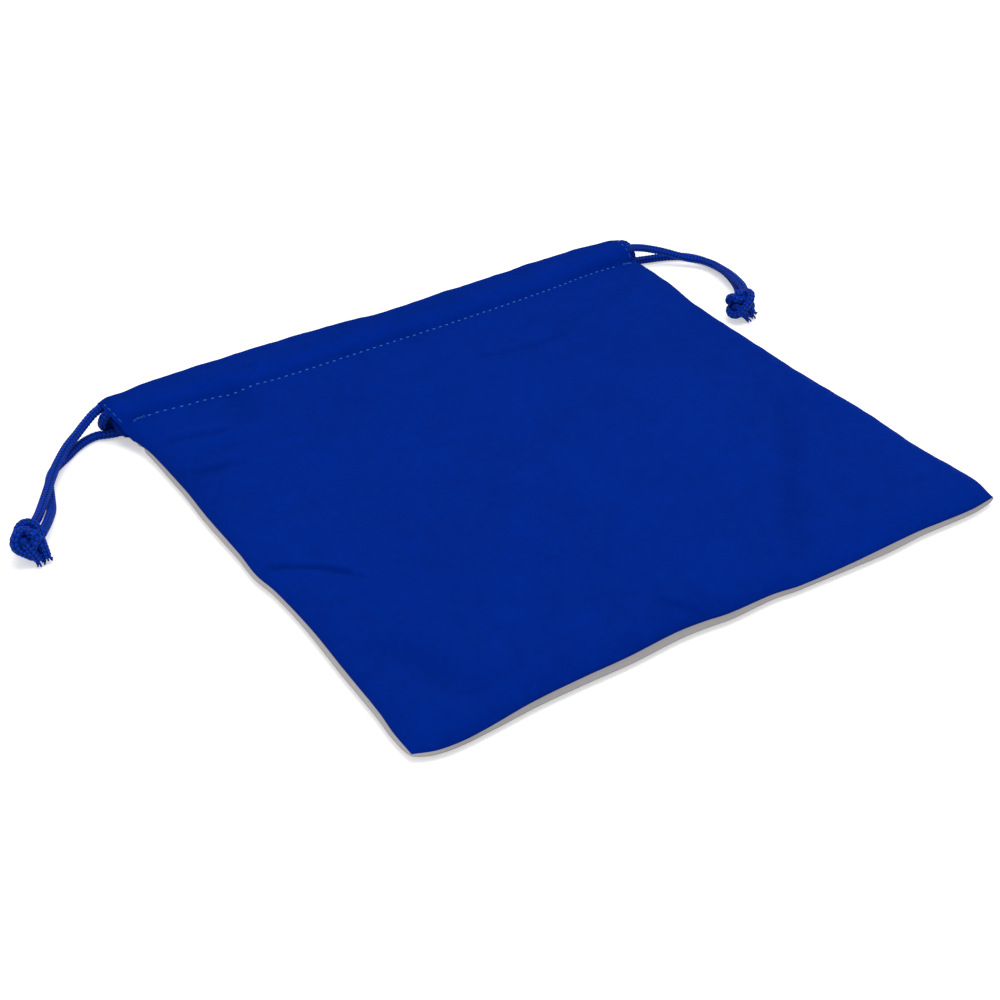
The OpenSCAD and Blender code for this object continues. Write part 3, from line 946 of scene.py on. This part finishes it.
def front_cloth():
    """Outer face of the front: panel, casing, fold and the casing's inner wall, in millimetres.

    Also gives the row that is sewn and the cloth's painted shade.
    """
    x, y, up = panel_plan(PANEL_LENGTH, STITCH_LINE)
    foot, seam_row = through(STITCH_LINE, x[0]), len(up) - 1
    z, shadow = front_panel(x, y, up)
    band_y, band_z, band_shadow = front_casing(x[0], foot, z[-1])
    hem_y, hem_z = foot[None] - HEM_DROP, z[-1:] - HEM_DEPTH
    y, z = np.concatenate([y, band_y, hem_y]), np.concatenate([z, band_z, hem_z])
    shadow = np.concatenate([shadow, band_shadow, 0 * hem_y])
    x = np.broadcast_to(x[0], y.shape)
    row = np.arange(len(y))[:, None] - len(up) - OUTSIDE_ROWS
    # Stitches pull the outer side in, and the cloth gathers along them
    pitch = bpy.context.scene.pouch_thread.pitch / MM
    between = 0.65 - 0.35 * np.cos(2 * np.pi * x / pitch)
    pull = STITCH_PULL * np.exp(-((y - foot) / 0.7) ** 2) * between
    gather = 0.07 * np.exp(-np.abs(y - foot) / 3) * unevenness(x, 6.5, 4)
    z = z - np.where(row < 0, pull + gather, 0)
    # At the slits the casing hangs down, and its inner wall sags and stays inside
    inside = smooth((row + 4) / 8)
    droop = DROOP["left"] * smooth((-x - 100) / 5) + DROOP["right"] * smooth((x - 100) / 5)
    z = z - droop * smooth((y - foot + 12) / 12) - SAG * inside * smooth((np.abs(x) - 97) / 7)
    wide = across(x, y)
    wide = wide + (np.clip(wide, 0.3 - HALF, HALF - 1.8) - wide) * inside
    return np.stack([wide, y, z], -1), seam_row, shadow


def back_cloth():
    """Outer face of the grey back panel, which faces down, in millimetres."""
    x, y, up = panel_plan(PANEL_LENGTH + 1, BACK_STITCH_LINE)
    left, right, low = (rise(far, BACK_ROUND) for far in (x + HALF, HALF - x, up))
    share = 1 - left * right * low
    z = seam_height(x, y) * share + 0.42 * smooth((y - 72) / 3)
    # It rolls out from under the front along its edges, and is tucked in beside the slits
    out = 4 * share * (1 - share)
    roll = through(RIGHT_ROLL, y) * (1 - right) - through(LEFT_ROLL, y) * (1 - left)
    tuck = 1.3 * smooth((y - 70) / 4) * (np.exp(-(x + HALF) / 2) - np.exp((x - HALF) / 2))
    wide = across(x, y) + out * smooth((78 - y) / 3) * roll + tuck
    return np.stack([wide, y - out * through(BOTTOM_ROLL, x) * (1 - low), z], -1)


def back_band():
    """Outer face of the back casing, from the hem on its upper side round to its lower edge."""
    x = columns()
    foot, foot_z = through(BACK_STITCH_LINE, x), np.full(x.shape, BACK_HEM_Z)
    y, z = casing_rows(x, foot, foot_z, BACK_CORD_Z, np.full(x.shape, BACK_EDGE_Y), BACK_EDGE_Z)
    y, z = np.concatenate([foot[None], y]), np.concatenate([foot_z[None], z])
    x = np.broadcast_to(x, y.shape)
    z = np.maximum(z, 0.04)
    # The left end's lip stands up behind the cords, and both ends climb to the front
    z = z + 1.8 * smooth((-x - 97) / 5) * smooth((z - 1.5) / 2) * smooth((y - 84) / 4)
    raised = rise(np.minimum(x + HALF, HALF - x), 9)
    z = z + through(SLIT_LIFT, y) * (1 + 0.15 * lean(x)) * (1 - raised)
    under = np.minimum(z, panel_height(x, y, raised) - 0.9)
    z = np.where(y < through(STITCH_LINE, x) - 2, under, z)
    return np.stack([across(x, y, BACK_LEFT_INSET, BACK_RIGHT_INSET), y, z], -1)


def shell_faces(rows, cols, faces_down):
    """Faces of a cloth whose outer and inner side have a grid of points each, its rim's last."""
    r, c = np.meshgrid(np.arange(rows - 1), np.arange(cols - 1), indexing="ij")
    a = (r * cols + c).ravel()
    quads = np.stack([a, a + 1, a + cols + 1, a + cols], 1)
    low, high = np.arange(cols), (rows - 1) * cols + np.arange(cols)
    first, last = np.arange(rows) * cols, np.arange(rows) * cols + cols - 1
    edges = [(low[:-1], low[1:]), (high[1:], high[:-1]),
             (first[1:], first[:-1]), (last[:-1], last[1:])]
    edges = np.concatenate([np.stack(edge, 1) for edge in edges])
    if faces_down:
        quads, edges = quads[:, ::-1], edges[:, ::-1]
    count = rows * cols
    rim = np.stack([edges[:, 1], edges[:, 0], edges[:, 0] + count, edges[:, 1] + count], 1)
    return np.concatenate([quads, quads[:, ::-1] + count, rim]), rim


def cloth_halves(name, grid, thick, shadow=0, faces_down=False):
    """Makes the left and right half of a cloth from its outer face, in millimetres."""
    finish, slot, nodes, flat_length = CLOTHS[name]
    grid = grid * MM
    normal = unit(np.cross(np.gradient(grid, axis=1), np.gradient(grid, axis=0)))
    if faces_down:
        normal = -normal
    thick, shadow = (np.broadcast_to(a, grid.shape[:2]) for a in (thick, shadow))
    inner = grid - normal * thick[..., None]
    step = np.linalg.norm(np.diff(grid, axis=0), axis=2)
    climb = np.concatenate([np.zeros((1, grid.shape[1])), np.cumsum(step, axis=0)])
    uv = np.stack([grid[..., 0], climb], -1)
    middle = grid.shape[1] // 2
    for side_name, part in (("left", slice(0, middle + 1)), ("right", slice(middle, None))):
        faces, rim = shell_faces(*grid[:, part].shape[:2], faces_down)
        points, normals = (np.concatenate([a[:, part].reshape(-1, 3) for a in pair])
                           for pair in ((grid, inner), (normal, -normal)))
        piece = new_mesh(name + "_" + side_name, points, faces.tolist())
        set_uv(piece, "Weave", np.tile(uv[:, part].reshape(-1, 2), (2, 1)))
        # Each point's painted shade, by which the material darkens the cloth's colour
        fold = piece.data.attributes.new("PaintedShade", "FLOAT", "POINT")
        fold.data.foreach_set("value", np.tile(shadow[:, part].ravel(), 2))
        # Both sides have the cloth's own normals, and the rim is flat
        normals = normals[faces.ravel()]
        flat = points[rim]
        flat = unit(np.cross(flat[:, 1] - flat[:, 0], flat[:, 3] - flat[:, 0]))
        normals[-4 * len(rim):] = np.repeat(flat, 4, axis=0)
        piece.data.normals_split_custom_set(normals.tolist())
        piece.data.materials.append(material(finish))
        finish_piece(piece, nodes)


def finish_piece(piece, nodes):
    """Hides the CAD pieces that a cloth or thread stands for, and bakes its place into its mesh.
    """
    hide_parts(*nodes)
    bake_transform(piece)


class POUCH_OT_add_cloth(bpy.types.Operator):
    """Adds the blue front, the grey back and the blue casing behind the mouth"""

    bl_idname = "pouch.add_cloth"
    bl_label = "Cloth"

    def execute(self, context):
        cloth = context.scene.pouch_cloth
        from_slit = (HALF - np.abs(columns())) / (cloth.hem / MM)
        hemmed = cloth.thickness * (2 - smooth(from_slit * 4 - 3))
        front, seam_row, shadow = front_cloth()
        thick = np.tile(hemmed, (len(front), 1))
        thick[:seam_row] = cloth.thickness
        cloth_halves("front_cloth", front, thick, shadow)
        back = back_cloth()
        # Painted shade: the grey back is up to 30 % darker the higher it rises towards the seam
        # that hangs over it, fading out at the left side
        painted_shade = 0.3 * smooth(back[..., 2] / 4) * smooth((back[..., 0] + HALF) / 15)
        cloth_halves("back_cloth", back, cloth.thickness, painted_shade, faces_down=True)
        cloth_halves("back_casing_band", back_band(), hemmed)
        return {"FINISHED"}


# ---------------------------------------------------------------- thread


def stitch_mesh(name, places, ahead, up, length, width):
    """A row of short stitches in one mesh, each with its two ends in the cloth."""
    share = np.array([-1, -0.6, 0, 0.6, 1])
    size = np.array([0.45, 0.95, 1, 0.95, 0.45]) * width / 2
    high = (0.75 - 1.15 * share ** 2) * width / 2
    sides, last = THREAD_SIDES, len(share) - 1
    turn = 2 * np.pi * np.arange(sides) / sides
    ahead = unit(ahead - up * (ahead * up).sum(1)[:, None])
    out = np.cross(ahead, up)
    middle = (places[:, None] + ahead[:, None] * (share * length / 2)[None, :, None]
              + up[:, None] * high[None, :, None])
    ring = (out[:, None, None] * np.cos(turn)[None, None, :, None]
            + up[:, None, None] * np.sin(turn)[None, None, :, None])
    points = middle[:, :, None] + ring * size[None, :, None, None]
    faces = []
    for first in range(0, len(places) * len(share) * sides, len(share) * sides):
        for i in range(last):
            for k in range(sides):
                a, b = first + i * sides + k, first + i * sides + (k + 1) % sides
                faces.append([a, b, b + sides, a + sides])
        faces.append([first + k for k in reversed(range(sides))])
        faces.append([first + last * sides + k for k in range(sides)])
    piece = new_mesh(name, points.reshape(-1, 3), faces)
    piece.data.materials.append(material("Thread"))
    return piece


def sew(name, node, places, ahead, up, length, share=1):
    """Sews one row in millimetres: its stitches left and right of the middle are a piece each."""
    places = places * MM
    width = bpy.context.scene.pouch_thread.width * share
    for side_name, pick in (("left", places[:, 0] < 0), ("right", places[:, 0] >= 0)):
        if pick.any():
            piece = stitch_mesh(name if pick.all() else name + "_" + side_name,
                                places[pick], ahead[pick], up[pick], length, width)
            finish_piece(piece, (node,))


def directions(grid):
    """A cloth's direction across the pouch and its normals, at each of its points."""
    ahead, climb = np.gradient(grid, axis=1), np.gradient(grid, axis=0)
    return ahead, unit(np.cross(ahead, climb))


def row_across(grid, row, at):
    """Points, directions and normals of a grid's row at places across the pouch."""
    places, ahead, up = (read_off(at, columns(), a[row]) for a in (grid, *directions(grid)))
    return places, unit(ahead), unit(up)


def row_up(grid, rows, x_place, step):
    """Points, directions and normals along one column, a stitch apart."""
    line, normal = (np.concatenate([read_off([x_place], columns(), a[row]) for row in rows])
                    for a in (grid, directions(grid)[1]))
    far = along(line)
    at = np.arange(step * 0.6, far[-1] - step * 0.2, step)
    lines = (line, np.gradient(line, axis=0), unit(normal))
    places, ahead, up = (read_off(at, far, a) for a in lines)
    return places, unit(ahead), unit(up)


class POUCH_OT_add_stitching(bpy.types.Operator):
    """Adds the thread: casing rows, slit rows, bar tacks and seams"""

    bl_idname = "pouch.add_stitching"
    bl_label = "Stitching"

    def execute(self, context):
        thread = context.scene.pouch_thread
        pitch, length = thread.pitch / MM, thread.length
        front, foot_row, _ = front_cloth()
        faces = (("front", front, foot_row), ("back", back_band(), 0))
        count = int((HALF - CASING_MARGIN) / pitch)
        at = (np.arange(-count, count) + 0.5) * pitch
        for face, grid, row in faces:
            places, ahead, up = row_across(grid, row, at)
            sew(face + "_casing_stitches", face + "_casing_stitching", places, ahead, up, length)
        for place, side in (("left", -1), ("right", 1)):
            for face, grid, row in faces:
                rows = range(row + 1, row + 1 + SLIT_ROWS)
                places, ahead, up = row_up(grid, rows, side * (HALF - SLIT_MARGIN), pitch)
                sew(face + "_" + place + "_slit_stitches", face + "_" + place + "_slit_stitching",
                    places, ahead, up, SLIT_LENGTH_SHARE * length, SLIT_WIDTH_SHARE)
            at = side * (HALF - TACK_START[place] - np.arange(TACK_COUNT) * TACK_PITCH)
            places, ahead, up = row_across(front, foot_row, at)
            sew(place + "_tack_stitches", place + "_bar_tack", places + TACK_LIFT * up,
                np.cross(up, ahead), up, TACK_LENGTH, TACK_WIDTH_SHARE)
        self.sew_seams(pitch, length)
        return {"FINISHED"}

    def sew_seams(self, pitch, length):
        """Stitches that hold front and back together, just inside the seams."""
        for place, side in (("left", -1), ("right", 1)):
            y = np.arange(BOTTOM_Y + CORNER_MARGIN, FOOT_Y - 1, pitch)
            x = np.full(y.shape, side * (HALF - SEAM_MARGIN))
            places = np.stack([across(x, y), y, seam_height(x, y)], 1)
            ahead = unit(np.gradient(places, axis=0))
            up = unit(np.cross(ahead, np.cross((0, 0, 1), ahead)))
            sew(place + "_seam_stitches", place + "_side_seam", places, ahead, up, length)
        x = np.arange(-HALF + CORNER_MARGIN, HALF - CORNER_MARGIN, pitch)
        y = BOTTOM_Y + through(BOTTOM_INSET, x) + SEAM_MARGIN
        places = np.stack([across(x, y), y, np.full(x.shape, SEAM_LOW)], 1)
        ahead = unit(np.gradient(places, axis=0))
        up = np.tile((0.0, 0.0, 1.0), (len(x), 1))
        sew("bottom_seam_stitches", "bottom_seam", places, ahead, up, length)


# ---------------------------------------------------------------- panel and registration


class POUCH_PT_sidebar(bpy.types.Panel):
    """Lists the pouch's pieces and settings"""

    bl_label = "Drawstring pouch"
    bl_idname = "POUCH_PT_sidebar"
    bl_space_type = "VIEW_3D"
    bl_region_type = "UI"
    bl_category = "Pouch"

    def draw(self, context):
        for group in ("pouch_stage", "pouch_cloth", "pouch_cord", "pouch_thread"):
            box = self.layout.box()
            settings = getattr(context.scene, group)
            for key in settings.__annotations__:
                box.prop(settings, key)
        for operator in OPERATORS:
            self.layout.operator(operator.bl_idname)


GROUPS = {
    "pouch_cloth": PouchClothSettings,
    "pouch_cord": PouchCordSettings,
    "pouch_thread": PouchThreadSettings,
    "pouch_stage": PouchStageSettings,
}
OPERATORS = [POUCH_OT_add_stage, POUCH_OT_add_drawcords, POUCH_OT_add_cloth,
             POUCH_OT_add_stitching]


def register():
    for cls in (*GROUPS.values(), *OPERATORS, POUCH_PT_sidebar):
        bpy.utils.register_class(cls)
    for name, cls in GROUPS.items():
        setattr(bpy.types.Scene, name, bpy.props.PointerProperty(type=cls))


def unregister():
    for name in GROUPS:
        delattr(bpy.types.Scene, name)
    for cls in (POUCH_PT_sidebar, *reversed(OPERATORS), *reversed(GROUPS.values())):
        bpy.utils.unregister_class(cls)


def main():
    register()
    bpy.ops.pouch.add_stage()
    bpy.ops.pouch.add_drawcords()
    bpy.ops.pouch.add_cloth()
    bpy.ops.pouch.add_stitching()


if __name__ == "__main__":
    main()
